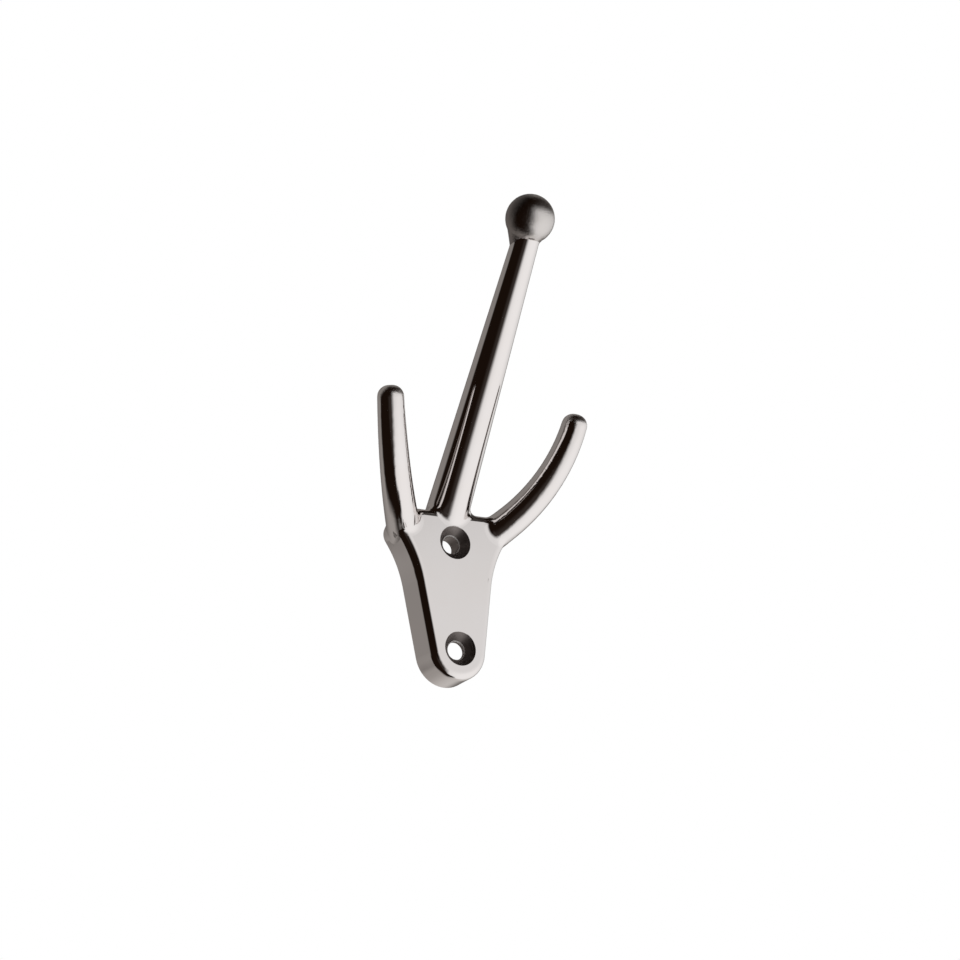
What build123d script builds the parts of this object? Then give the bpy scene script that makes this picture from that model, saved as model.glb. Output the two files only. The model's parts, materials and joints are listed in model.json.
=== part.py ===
# Triple coat hook, die-cast in one piece: a tongue-shaped wall plate, a ball-ended stem and two side arms.
# Millimetres: +X right, +Y into the wall, +Z up, origin on the wall face midway between the screw holes.
import os
from math import cos, radians, sin, sqrt, tan

from build123d import *

# Wall plate, with its outline given on the wall face
plate_thickness = 8.5
tongue_radius = 7.9
side_angle = 9.2
flare_height = 3.1
flare_radius = 29.5
flare_turn = 23.5
shoulder_radius = 3.5
shoulder_turn = 58.0
top_rise = 4.2
top_corner_radius = 3.0
draft_angle = 2.0
front_edge_radius = 2.0

# Screw holes, countersunk from the front
hole_spacing = 27.0
hole_diameter = 4.5
countersink_diameter = 8.6
countersink_angle = 80.0

# Cored back, deeper at the lower hole than at the upper one
rim_width = 2.2
core_depth_lower = 5.3
core_depth_upper = 2.4

# Stem, a straight cone that starts below the plate's top edge and rises to the ball
stem_rise = 51.65
stem_drop = 6.08
stem_length = 84.5
stem_foot_radius = 5.64
stem_tip_radius = 3.18
stem_blend_radius = 2.2
ball_diameter = 12.0
ball_shift = 0.86
neck_top_depth = 3.0
neck_drop = 6.5
neck_tilt = 39.0
neck_inset = 0.2

# Side arms, each a tapered arc that starts at the plate's shoulder, in a plane that splays out and leans in
arm_inset = 0.51
arm_drop = 2.03
arm_splay = 35.95
arm_rise = 27.43
arm_lean = 3.32
arm_bend_radius = 44.65
arm_bend = 43.2
arm_root_radius = 4.38
arm_tip_radius = 3.16
arm_tip_flat = 0.36
arm_blend_radius = 3.0

# Extra depth behind the wall face, so that the blends run past it before the back is trimmed flat
trim_depth = 6.0


def draw_outline(grow):
    # Plate outline on the wall face, moved outwards by grow
    with BuildSketch() as outline:
        with BuildLine():
            lower_hole = Vector(0, -hole_spacing / 2)
            outwards = Vector(cos(radians(side_angle)), -sin(radians(side_angle)))
            upwards = Vector(sin(radians(side_angle)), cos(radians(side_angle)))
            side_foot = lower_hole + outwards * tongue_radius
            side_length = (flare_height - side_foot.Y) / upwards.Y
            CenterArc(lower_hole, tongue_radius, -90, 90 - side_angle)
            side = Line(side_foot, side_foot + upwards * side_length)
            flare = JernArc(side @ 1, side % 1, flare_radius, -flare_turn)
            shoulder = JernArc(flare @ 1, flare % 1, shoulder_radius, shoulder_turn)
            corner = shoulder @ 1 + (shoulder % 1) * (top_rise / (shoulder % 1).Y)
            Polyline(shoulder @ 1, corner, (0, corner.Y))
            mirror(about=Plane.YZ)
        make_face()
        corners = outline.vertices().group_by(Axis.Y)[-1].sort_by(Axis.X)
        fillet([corners[0], corners[-1]], top_corner_radius)
        offset(amount=grow)
    return outline.sketch


# Directions and planes that the pieces are drawn on, set out from the plate's shoulders and top edge
plate_corner = draw_outline(0).bounding_box().max
front = Plane.XZ.offset(plate_thickness)
stem_axis = Vector(0, -cos(radians(stem_rise)), sin(radians(stem_rise)))
stem_back = Vector(0, sin(radians(stem_rise)), cos(radians(stem_rise)))
stem_foot = Plane(origin=(0, 0, plate_corner.Y - stem_drop), x_dir=(1, 0, 0), z_dir=stem_axis)
stem_tip = stem_foot.offset(stem_length)
ball_seat = Plane(origin=stem_tip.origin + stem_back * ball_shift, x_dir=(1, 0, 0), z_dir=stem_axis)
stem_taper = (stem_foot_radius - stem_tip_radius) / stem_length

# Neck under the ball: a cone that fills the corner on the wall side and stays inside the ball in front
neck_top = ball_seat.offset(-neck_top_depth)
neck_top_radius = sqrt((ball_diameter / 2) ** 2 - neck_top_depth**2) - neck_inset
neck_foot = stem_tip.offset(-neck_drop).rotated((-neck_tilt, 0, 0))
neck_foot_radius = stem_tip_radius + neck_drop * stem_taper - neck_inset

arm_forward = Vector(sin(radians(arm_splay)), -cos(radians(arm_splay)), 0)
arm_across = arm_forward.cross(Vector(0, 0, 1))
arm_normal = arm_across * cos(radians(arm_lean)) - Vector(0, 0, sin(radians(arm_lean)))
arm_root = Vector(plate_corner.X - arm_inset, -plate_thickness, plate_corner.Y - arm_drop)
arm_plane = Plane(origin=arm_root, x_dir=arm_forward, z_dir=arm_normal)

# One side arm, run straight back behind the front face so that its root is buried in the plate
with BuildPart() as arm:
    with BuildLine(arm_plane) as arm_path:
        tail_length = plate_thickness / (cos(radians(arm_splay)) * cos(radians(arm_rise)))
        tail_start = (-tail_length * cos(radians(arm_rise)), -tail_length * sin(radians(arm_rise)))
        tail = Line(tail_start, (0, 0))
        JernArc(tail @ 1, tail % 1, arm_bend_radius, arm_bend)
    spine = arm_path.line
    with BuildSketch(Plane(origin=spine @ 0, x_dir=arm_normal, z_dir=spine % 0)):
        Circle(arm_root_radius)
    with BuildSketch(Plane(origin=spine @ 1, x_dir=arm_normal, z_dir=spine % 1)):
        Circle(arm_tip_radius)
    sweep(path=spine, multisection=True)
    tip = arm.faces().filter_by(GeomType.PLANE).sort_by(Axis.Z)[-1]
    fillet(tip.edges(), arm_tip_radius - arm_tip_flat)

# Back core, the outline set in by the rim, with a sloped floor through its two depths
with BuildPart() as core:
    with BuildSketch(Plane.XZ):
        add(draw_outline(-rim_width))
    extrude(amount=plate_thickness)
    floor_slope = (core_depth_upper - core_depth_lower) / hole_spacing
    floor_depth = (core_depth_upper + core_depth_lower) / 2
    split(bisect_by=Plane(origin=(0, -floor_depth, 0), z_dir=(0, 1, floor_slope)), keep=Keep.TOP)

# Plate, drawn on past the wall face and drafted towards the front
with BuildPart() as plate:
    with BuildSketch(Plane.XZ.offset(-trim_depth)):
        add(draw_outline(trim_depth * tan(radians(draft_angle))))
    extrude(amount=plate_thickness + trim_depth, taper=draft_angle)
    fillet(plate.faces().sort_by(Axis.Y)[0].edges(), front_edge_radius)

# Plate with the stem, blended
with BuildPart() as plate_with_stem:
    add(plate.part)
    with BuildSketch(stem_foot.offset(-trim_depth)):
        Circle(stem_foot_radius + trim_depth * stem_taper)
    with BuildSketch(stem_tip):
        Circle(stem_tip_radius)
    loft()
    fillet(plate_with_stem.edges(Select.NEW).filter_by(lambda edge: edge.center().Y < 0), stem_blend_radius)

# Plate with the side arms, blended
with BuildPart() as plate_with_arms:
    add(plate.part)
    add([arm.part, arm.part.mirror(Plane.YZ)])
    fillet(plate_with_arms.edges(Select.NEW), arm_blend_radius)

# The whole casting
with BuildPart() as coat_hook:
    add([plate_with_stem.part, plate_with_arms.part])
    split(bisect_by=Plane.XZ, keep=Keep.TOP)

    with Locations(ball_seat):
        Sphere(ball_diameter / 2)
    with BuildSketch(neck_top):
        Circle(neck_top_radius)
    with BuildSketch(neck_foot):
        Ellipse(neck_foot_radius, neck_foot_radius / cos(radians(neck_tilt)))
    loft()
    add(core.part, mode=Mode.SUBTRACT)
    with Locations(front):
        with GridLocations(0, hole_spacing, 1, 2):
            CounterSinkHole(hole_diameter / 2, countersink_diameter / 2, counter_sink_angle=countersink_angle)
coat_hook.part.label = "coat_hook"

os.makedirs("parts", exist_ok=True)
export_step(coat_hook.part, "parts/coat_hook.step")
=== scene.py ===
import json
from math import cos, radians, sin

import bpy
from mathutils import Matrix, Vector


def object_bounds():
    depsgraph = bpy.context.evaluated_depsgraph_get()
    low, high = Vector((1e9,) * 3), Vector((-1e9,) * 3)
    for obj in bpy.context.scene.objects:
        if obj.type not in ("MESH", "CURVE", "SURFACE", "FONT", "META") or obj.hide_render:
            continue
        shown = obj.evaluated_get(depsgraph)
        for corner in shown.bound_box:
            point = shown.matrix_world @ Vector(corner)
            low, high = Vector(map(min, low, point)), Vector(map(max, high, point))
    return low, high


mmPerMetre = 1000.0
micrometre = 1e-6  # m

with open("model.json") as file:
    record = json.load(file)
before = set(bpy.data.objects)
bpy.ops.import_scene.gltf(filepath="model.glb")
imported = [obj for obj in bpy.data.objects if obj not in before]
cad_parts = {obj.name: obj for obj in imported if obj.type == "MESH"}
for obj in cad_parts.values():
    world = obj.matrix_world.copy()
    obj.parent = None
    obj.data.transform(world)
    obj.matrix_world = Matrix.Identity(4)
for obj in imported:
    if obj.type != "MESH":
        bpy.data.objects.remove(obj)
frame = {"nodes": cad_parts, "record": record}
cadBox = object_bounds()
hook = frame["nodes"]["coat_hook"]
print("frame loaded:", [round(side * mmPerMetre, 1) for side in cadBox[1] - cadBox[0]], "mm")


def hexColour(code):
    # sRGB hex to linear RGBA
    channels = [int(code[i:i + 2], 16) / 255 for i in (1, 3, 5)]
    return [c / 12.92 if c <= 0.04045 else ((c + 0.055) / 1.055) ** 2.4 for c in channels] + [1.0]


def addNode(tree, kind, settings=None, links=None):
    # a node with its properties and input values, and what is linked to its inputs
    node = tree.nodes.new(kind)
    for name, value in (settings or {}).items():
        if isinstance(name, str) and name not in node.inputs:
            setattr(node, name, value)
    for name, value in (settings or {}).items():
        if isinstance(name, int) or name in node.inputs:
            node.inputs[name].default_value = value
    for name, socket in (links or {}).items():
        tree.links.new(socket, node.inputs[name])
    return node


# camera, below the hook and to its left, as in the photograph
view = {
    "azimuth": -31.07, "elevation": -18.69, "roll": -3.06,  # degrees
    "place": (-0.2521, -0.4403, -0.1397), "nearest": 0.01,  # m
    "focalPixels": 2113.2, "framePixels": 960, "sensor": 36.0,  # sensor in mm
}


def placeCamera():
    turn, tilt, roll = (radians(view[name]) for name in ("azimuth", "elevation", "roll"))
    back = Vector((sin(turn) * cos(tilt), -cos(turn) * cos(tilt), sin(tilt)))
    right = Vector((cos(turn), sin(turn), 0))
    up = back.cross(right)
    across = right * cos(roll) + up * sin(roll)
    upright = up * cos(roll) - right * sin(roll)
    lens = bpy.data.cameras.new("camera")
    lens.sensor_width = view["sensor"]
    lens.lens = view["focalPixels"] / view["framePixels"] * view["sensor"]
    lens.clip_start = view["nearest"]
    camera = bpy.data.objects.new("camera", lens)
    turned = Matrix((across, upright, back)).transposed().to_4x4()
    camera.matrix_world = Matrix.Translation(view["place"]) @ turned
    bpy.context.scene.collection.objects.link(camera)
    bpy.context.scene.camera = camera


placeCamera()
print("camera placed")

# bright nickel plate on a die casting: a mirror with faint waves wherever the mop reached, satin on the
# ball, its neck and the arms' ends, darkened with painted shade on the ball's crown and on its side to the
# wall, dull as plated down the screw holes and darker there with painted shade, with a pale ring painted as
# a highlight where each bore starts, and a fine as-plated grain on the cored back
screwHoles = next(mount for mount in frame["record"]["mounts"] if mount["name"] == "screw_holes")
nickel = {
    # on the ball, the crown's and the wall side's colours are painted shade; down the holes the colour is
    # painted shade, and the ring's colour a painted highlight
    "pale": "#EAE6E5", "warm": "#E7E1DE", "ballColour": "#D3CECB", "crownColour": "#6C6765",
    "wallSideColour": "#98918E", "backColour": "#C4BFBC", "holeColour": "#918986", "wornColour": "#EDEAE8",
    "polishedRough": 0.06, "satinRough": 0.15, "backRough": 0.42, "holeRough": 0.42, "wornRough": 0.6,
    "mopMarks": 0.03,  # how far the mop's marks change the polished roughness, up and down
    # patterns: mm across, and octaves. The grain is far coarser than on the casting, so that it shows.
    "tintSize": 12.0, "tintDetail": 2.0, "mopSize": 1.6, "mopDetail": 3.0,
    "peelSize": 3.5, "peelDetail": 0.0, "grainSize": 0.12, "grainDetail": 1.0,
    "peelHeight": 0.4, "grainHeight": 40.0,  # micrometres
    "backGrain": 0.3, "holeGrain": 0.12,  # shares of the satin's grain
    # ball and arms' ends: mm below their tops, mm out from the middle, and how far a face has turned into the
    # ball's painted shade
    "neckDrop": 11.6, "neckEdge": 0.2, "tipFrom": 5.0, "tipTo": 2.4, "armSide": 20.0,
    "crownWay": (-0.75, 0.15, 0.6), "crownFrom": 0.35, "crownTo": 0.75,
    "wallSideFrom": -0.4, "wallSideTo": 0.1,
    # screw holes and the painted highlight ring where each bore starts, in mm
    "holeHeight": screwHoles["dims"]["spacing_y_mm"] / 2, "holeRadius": screwHoles["dims"]["hole_r_mm"],
    "mouthRadius": 4.35, "coneDepth": 2.45, "boreRoom": 0.03,
    "frontFace": -8.5, "lipFrom": 0.02, "lipTo": 0.1, "ringRadius": 2.38, "ringWidth": 0.12,
    # cored back, in mm, and how squarely a flat face looks at the wall
    "coreDepth": -6.2, "rimWidth": 2.2, "onWall": 0.01, "besideStem": 10.0, "flatness": 0.97,
}


def maskFinishes(tree, coords, mm):
    # where the finishes are: each mask runs from 0 to 1
    axes = addNode(tree, "ShaderNodeSeparateXYZ", links={0: mm}).outputs
    facing = addNode(tree, "ShaderNodeSeparateXYZ", links={0: coords["Normal"]}).outputs["Y"]
    points = [point.co * mmPerMetre for point in hook.data.vertices]

    # the ball with its neck, and the painted shade on its crown and on its side to the wall
    neck = cadBox[1].z * mmPerMetre - nickel["neckDrop"]
    ball = addNode(tree, "ShaderNodeMapRange", {
        "From Min": neck - nickel["neckEdge"], "From Max": neck + nickel["neckEdge"],
    }, {"Value": axes["Z"]}).outputs["Result"]
    towardsCrownShade = addNode(tree, "ShaderNodeVectorMath", {
        "operation": "DOT_PRODUCT", 1: Vector(nickel["crownWay"]).normalized(),
    }, {0: coords["Normal"]}).outputs["Value"]
    masks = {"ball": ball}
    for name, measure in (("crown", towardsCrownShade), ("wallSide", facing)):
        turned = addNode(tree, "ShaderNodeMapRange", {
            "interpolation_type": "SMOOTHSTEP",
            "From Min": nickel[name + "From"], "From Max": nickel[name + "To"],
        }, {"Value": measure}).outputs["Result"]
        masks[name] = addNode(tree, "ShaderNodeMath", {"operation": "MULTIPLY"},
                              {0: ball, 1: turned}).outputs[0]

    # the arms' ends, satin as the ball is
    armTop = max(point.z for point in points if abs(point.x) > nickel["armSide"])
    sideways = addNode(tree, "ShaderNodeMath", {"operation": "ABSOLUTE"}, {0: axes["X"]}).outputs[0]
    onArm = addNode(tree, "ShaderNodeMath", {"operation": "GREATER_THAN", 1: nickel["armSide"]},
                    {0: sideways}).outputs[0]
    tipward = addNode(tree, "ShaderNodeMapRange", {
        "From Min": armTop - nickel["tipFrom"], "From Max": armTop - nickel["tipTo"],
    }, {"Value": axes["Z"]}).outputs["Result"]
    tip = addNode(tree, "ShaderNodeMath", {"operation": "MULTIPLY"}, {0: onArm, 1: tipward}).outputs[0]
    masks["satin"] = addNode(tree, "ShaderNodeMath", {"operation": "MAXIMUM"}, {0: ball, 1: tip}).outputs[0]

    # both screw holes at once, as far above the origin as below it, and the painted highlight ring where the
    # bore starts
    upOrDown = addNode(tree, "ShaderNodeMath", {"operation": "ABSOLUTE"}, {0: axes["Z"]}).outputs[0]
    level = addNode(tree, "ShaderNodeMath", {"operation": "SUBTRACT", 1: nickel["holeHeight"]},
                    {0: upOrDown}).outputs[0]
    fromHole = addNode(tree, "ShaderNodeCombineXYZ", links={"X": axes["X"], "Y": level}).outputs[0]
    radius = addNode(tree, "ShaderNodeVectorMath", {"operation": "LENGTH"}, {0: fromHole}).outputs["Value"]
    cone = addNode(tree, "ShaderNodeMapRange", {
        "From Min": nickel["frontFace"], "From Max": nickel["frontFace"] + nickel["coneDepth"],
        "To Min": nickel["mouthRadius"], "To Max": nickel["holeRadius"] + nickel["boreRoom"],
    }, {"Value": axes["Y"]}).outputs["Result"]
    inside = addNode(tree, "ShaderNodeMath", {"operation": "LESS_THAN"}, {0: radius, 1: cone}).outputs[0]
    sunk = addNode(tree, "ShaderNodeMapRange", {
        "From Min": nickel["frontFace"] + nickel["lipFrom"],
        "From Max": nickel["frontFace"] + nickel["lipTo"],
    }, {"Value": axes["Y"]}).outputs["Result"]
    hole = addNode(tree, "ShaderNodeMath", {"operation": "MULTIPLY"}, {0: inside, 1: sunk}).outputs[0]
    ring = addNode(tree, "ShaderNodeMath", {
        "operation": "COMPARE", 1: nickel["ringRadius"], 2: nickel["ringWidth"],
    }, {0: radius}).outputs[0]
    # down the holes the darker colour is painted shade in the recess, while the roughness and grain are the
    # dull as-plated finish
    masks["hole"] = hole
    # the ring's pale colour is a painted highlight where the bore starts
    masks["worn"] = addNode(tree, "ShaderNodeMath", {"operation": "MULTIPLY"}, {0: hole, 1: ring}).outputs[0]

    # the cored back: what looks squarely at the wall, and below the top rim what faces the origin
    plateTop = max(point.z for point in points
                   if point.y > -nickel["onWall"] and abs(point.x) > nickel["besideStem"])
    inward = addNode(tree, "ShaderNodeVectorMath", {"operation": "DOT_PRODUCT"},
                     {0: coords["Normal"], 1: mm}).outputs["Value"]
    facesIn = addNode(tree, "ShaderNodeMath", {"operation": "LESS_THAN", 1: 0.0}, {0: inward}).outputs[0]
    below = addNode(tree, "ShaderNodeMath", {"operation": "LESS_THAN", 1: plateTop - nickel["rimWidth"]},
                    {0: axes["Z"]}).outputs[0]
    inCore = addNode(tree, "ShaderNodeMath", {"operation": "MULTIPLY"}, {0: facesIn, 1: below}).outputs[0]
    facesWall = addNode(tree, "ShaderNodeMath", {"operation": "GREATER_THAN", 1: nickel["flatness"]},
                        {0: facing}).outputs[0]
    coreOrRim = addNode(tree, "ShaderNodeMath", {"operation": "MAXIMUM"},
                        {0: inCore, 1: facesWall}).outputs[0]
    behind = addNode(tree, "ShaderNodeMath", {"operation": "GREATER_THAN", 1: nickel["coreDepth"]},
                     {0: axes["Y"]}).outputs[0]
    masks["back"] = addNode(tree, "ShaderNodeMath", {"operation": "MULTIPLY"},
                            {0: behind, 1: coreOrRim}).outputs[0]
    return masks


def makeNickel():
    # a Mix node takes numbers at its inputs 2 and 3, and colours at 6 and 7
    metal = bpy.data.materials.new("polished_nickel_plate")
    metal.use_nodes = True
    tree = metal.node_tree
    shader = tree.nodes["Principled BSDF"]
    shader.inputs["Metallic"].default_value = 1.0
    coords = addNode(tree, "ShaderNodeTexCoord").outputs
    mm = addNode(tree, "ShaderNodeVectorMath", {"operation": "SCALE", "Scale": mmPerMetre},
                 {0: coords["Object"]}).outputs["Vector"]
    masks = maskFinishes(tree, coords, mm)
    noise = {}
    for name in ("tint", "mop", "peel", "grain"):
        noise[name] = addNode(tree, "ShaderNodeTexNoise", {
            "Scale": 1 / nickel[name + "Size"], "Detail": nickel[name + "Detail"],
        }, {"Vector": mm}).outputs["Fac"]

    # colour, with faint warm clouds in the plate, painted shade on the ball and down the holes, and a painted
    # highlight ring
    colour = addNode(tree, "ShaderNodeMix", {
        "data_type": "RGBA", 6: hexColour(nickel["pale"]), 7: hexColour(nickel["warm"]),
    }, {0: noise["tint"]}).outputs[2]
    for name in ("ball", "crown", "wallSide", "back", "hole", "worn"):
        colour = addNode(tree, "ShaderNodeMix", {"data_type": "RGBA", 7: hexColour(nickel[name + "Colour"])},
                         {0: masks[name], 6: colour}).outputs[2]
    tree.links.new(colour, shader.inputs["Base Color"])

    # roughness, with the mop's marks
    rough = addNode(tree, "ShaderNodeMapRange", {
        "To Min": nickel["polishedRough"] - nickel["mopMarks"],
        "To Max": nickel["polishedRough"] + nickel["mopMarks"],
    }, {"Value": noise["mop"]}).outputs["Result"]
    for name in ("satin", "back", "hole", "worn"):
        rough = addNode(tree, "ShaderNodeMix", {3: nickel[name + "Rough"]},
                        {0: masks[name], 2: rough}).outputs[0]
    tree.links.new(rough, shader.inputs["Roughness"])

    # relief in micrometres: the faint waves of a mopped casting, and the grain where it is satin or as plated
    share = masks["satin"]
    for name in ("back", "hole"):
        share = addNode(tree, "ShaderNodeMix", {3: nickel[name + "Grain"]},
                        {0: masks[name], 2: share}).outputs[0]
    grain = addNode(tree, "ShaderNodeMath", {"operation": "MULTIPLY"},
                    {0: share, 1: noise["grain"]}).outputs[0]
    peel = addNode(tree, "ShaderNodeMath", {"operation": "MULTIPLY", 1: nickel["peelHeight"]},
                   {0: noise["peel"]}).outputs[0]
    height = addNode(tree, "ShaderNodeMath", {"operation": "MULTIPLY_ADD", 1: nickel["grainHeight"]},
                     {0: grain, 2: peel}).outputs[0]
    relief = addNode(tree, "ShaderNodeBump", {"Distance": micrometre}, {"Height": height})
    tree.links.new(relief.outputs["Normal"], shader.inputs["Normal"])
    return metal


hook.data.materials.clear()
hook.data.materials.append(makeNickel())
print("nickel plated")

# studio, as the metal shows it: a white panel from the front round to the right and under the hook, a dark
# room to the left and above, and a grey wall behind, in shade straight behind the hook.
# Degrees: bearings from the left (0) by the front (90) and the right (180) to the wall (270), heights up.
studio = {
    "dark": "#1A110C", "wall": "#A29E9B", "duskyWall": "#8B8784", "litWall": "#CAC7C4",
    "haze": "#403C3A", "glow": "#352F2C", "shade": "#77726F",
    "panelDim": 0.82, "panelBright": 1.0, "lampBearing": 154, "lampHeight": -42, "lampReach": 60,
    "wallLean": 0.72, "leanFrom": -22, "leanTo": 40,  # the wall's far edge, degrees round for each one up
    "panelEdge": 79, "lowEdge": 62, "edgeFrom": -38, "edgeTo": -72,  # the panel's left edge, and low down
    "fan": 1.9, "fanFrom": 15, "fanTo": -40,  # how many times softer that edge is low down
    # each card's edges: what is measured, and the degrees where the card starts and is full
    "cards": (
        ("wall", ("bearing", 185, 205), ("leaning", 330, 307), ("height", -66, -42), ("height", 85, 60)),
        ("duskyWall", ("bearing", 185, 205), ("leaning", 330, 307), ("height", -30, 20), ("height", 85, 60)),
        ("litWall", ("bearing", 185, 205), ("bearing", 290, 240), ("height", 45, 10), ("height", -78, -68)),
        ("haze", ("bearing", 85, 125), ("bearing", 225, 190), ("height", 20, 30), ("height", 65, 45)),
        ("glow", ("bearing", 30, 54), ("bearing", 130, 100), ("height", -5, -25)),
        ("panel", ("fanned", -10, 10), ("bearing", 232, 195), ("height", 29, 15), ("height", -83, -73)),
        ("shade", ("bearing", 200, 228), ("bearing", 290, 262), ("height", -25, 0), ("height", 55, 38)),
    ),
    "fill": 0.86, "sunStrength": 1.1, "sunAngle": 35, "sunTilt": (28, 18),  # plain soft light for the floor
}


def measureSky(tree, direction):
    # degrees round and up for each direction, and the two measures that follow slanting edges
    turned = addNode(tree, "ShaderNodeVectorMath", {"operation": "SCALE", "Scale": -1.0}, {0: direction})
    axes = addNode(tree, "ShaderNodeSeparateXYZ", links={0: turned.outputs[0]}).outputs
    around = addNode(tree, "ShaderNodeMath", {"operation": "ARCTAN2"}, {0: axes["Y"], 1: axes["X"]})
    degrees = addNode(tree, "ShaderNodeMath", {"operation": "DEGREES"}, {0: around.outputs[0]})
    bearing = addNode(tree, "ShaderNodeMath", {"operation": "FLOORED_MODULO", 1: 360.0},
                      {0: degrees.outputs[0]}).outputs[0]
    dip = addNode(tree, "ShaderNodeMath", {"operation": "ARCSINE"}, {0: axes["Z"]})
    depth = addNode(tree, "ShaderNodeMath", {"operation": "DEGREES"}, {0: dip.outputs[0]})
    height = addNode(tree, "ShaderNodeMath", {"operation": "MULTIPLY", 1: -1.0},
                     {0: depth.outputs[0]}).outputs[0]
    lean = addNode(tree, "ShaderNodeMapRange", {
        "From Min": studio["leanFrom"], "From Max": studio["leanTo"],
        "To Min": studio["leanFrom"] * studio["wallLean"], "To Max": studio["leanTo"] * studio["wallLean"],
    }, {"Value": height}).outputs["Result"]
    leaning = addNode(tree, "ShaderNodeMath", {"operation": "SUBTRACT"}, {0: bearing, 1: lean}).outputs[0]
    edge = addNode(tree, "ShaderNodeMapRange", {
        "From Min": studio["edgeFrom"], "From Max": studio["edgeTo"],
        "To Min": studio["panelEdge"], "To Max": studio["lowEdge"],
    }, {"Value": height}).outputs["Result"]
    fan = addNode(tree, "ShaderNodeMapRange", {
        "From Min": studio["fanFrom"], "From Max": studio["fanTo"], "To Min": 1.0, "To Max": studio["fan"],
    }, {"Value": height}).outputs["Result"]
    fromEdge = addNode(tree, "ShaderNodeMath", {"operation": "SUBTRACT"}, {0: bearing, 1: edge}).outputs[0]
    fanned = addNode(tree, "ShaderNodeMath", {"operation": "DIVIDE"}, {0: fromEdge, 1: fan}).outputs[0]
    return {"bearing": bearing, "height": height, "leaning": leaning, "fanned": fanned}


def lightStudio():
    world = bpy.data.worlds.new("studio")
    bpy.context.scene.world = world
    world.use_nodes = True
    world.cycles.sampling_method = "NONE"  # no lamp, because reflections and the plain light differ
    tree = world.node_tree
    tree.nodes.clear()
    direction = addNode(tree, "ShaderNodeTexCoord").outputs["Generated"]
    measures = measureSky(tree, direction)

    # the panel is brightest where its lamp is
    turn, rise = radians(studio["lampBearing"]), radians(studio["lampHeight"])
    lampWay = (-cos(turn) * cos(rise), -sin(turn) * cos(rise), sin(rise))
    nearLamp = addNode(tree, "ShaderNodeVectorMath", {"operation": "DOT_PRODUCT", 1: lampWay}, {0: direction})
    panel = addNode(tree, "ShaderNodeMapRange", {
        "interpolation_type": "SMOOTHSTEP", "From Min": cos(radians(studio["lampReach"])), "From Max": 1.0,
        "To Min": studio["panelDim"], "To Max": studio["panelBright"],
    }, {"Value": nearLamp.outputs["Value"]}).outputs["Result"]

    # the cards, each laid over those before it
    shown = addNode(tree, "ShaderNodeRGB").outputs[0]
    shown.default_value = hexColour(studio["dark"])
    for name, *edges in studio["cards"]:
        card = None
        for measure, start, full in edges:
            edge = addNode(tree, "ShaderNodeMapRange", {
                "interpolation_type": "SMOOTHSTEP", "From Min": start, "From Max": full,
            }, {"Value": measures[measure]}).outputs["Result"]
            card = edge if card is None else addNode(
                tree, "ShaderNodeMath", {"operation": "MULTIPLY"}, {0: card, 1: edge}).outputs[0]
        mix = addNode(tree, "ShaderNodeMix", {"data_type": "RGBA"}, {0: card, 6: shown})
        if name == "panel":
            tree.links.new(panel, mix.inputs[7])
        else:
            mix.inputs[7].default_value = hexColour(studio[name])
        shown = mix.outputs[2]

    # reflections show the studio, the camera sees plain white, and the floor is lit by an even grey
    path = addNode(tree, "ShaderNodeLightPath").outputs
    plain = addNode(tree, "ShaderNodeMapRange", {"To Min": studio["fill"], "To Max": 1.0},
                    {"Value": path["Is Camera Ray"]})
    sky = addNode(tree, "ShaderNodeMix", {"data_type": "RGBA"},
                  {0: path["Is Glossy Ray"], 6: plain.outputs["Result"], 7: shown})
    glow = addNode(tree, "ShaderNodeBackground", {"Strength": 1.0}, {"Color": sky.outputs[2]})
    addNode(tree, "ShaderNodeOutputWorld", links={"Surface": glow.outputs[0]})

    # a soft sun that gives the floor its shadow
    lamp = bpy.data.lights.new("soft_sun", "SUN")
    lamp.energy = studio["sunStrength"]
    lamp.angle = radians(studio["sunAngle"])
    sun = bpy.data.objects.new("soft_sun", lamp)
    sun.rotation_euler = (radians(studio["sunTilt"][0]), radians(studio["sunTilt"][1]), 0)
    sun.visible_glossy = False
    bpy.context.scene.collection.objects.link(sun)


lightStudio()
print("studio lit")

# matt white floor, wide enough to meet the white of the background, and left out of the metal's reflections
ground = {
    "height": -0.16, "radius": 30.0, "sides": 64,  # m, just under the camera
    "colour": "#F2F1EF", "roughness": 0.8,
}


def layFloor():
    bpy.ops.mesh.primitive_circle_add(vertices=ground["sides"], radius=ground["radius"], fill_type="NGON",
                                      location=(0, 0, ground["height"]))
    floor = bpy.context.object
    floor.name = "floor"
    floor.visible_glossy = False
    paint = bpy.data.materials.new("matt_white_floor")
    paint.use_nodes = True
    coat = paint.node_tree.nodes["Principled BSDF"]
    coat.inputs["Base Color"].default_value = hexColour(ground["colour"])
    coat.inputs["Roughness"].default_value = ground["roughness"]
    floor.data.materials.append(paint)


layFloor()
print("floor laid")

bpy.context.scene.view_settings.view_transform = "Standard"
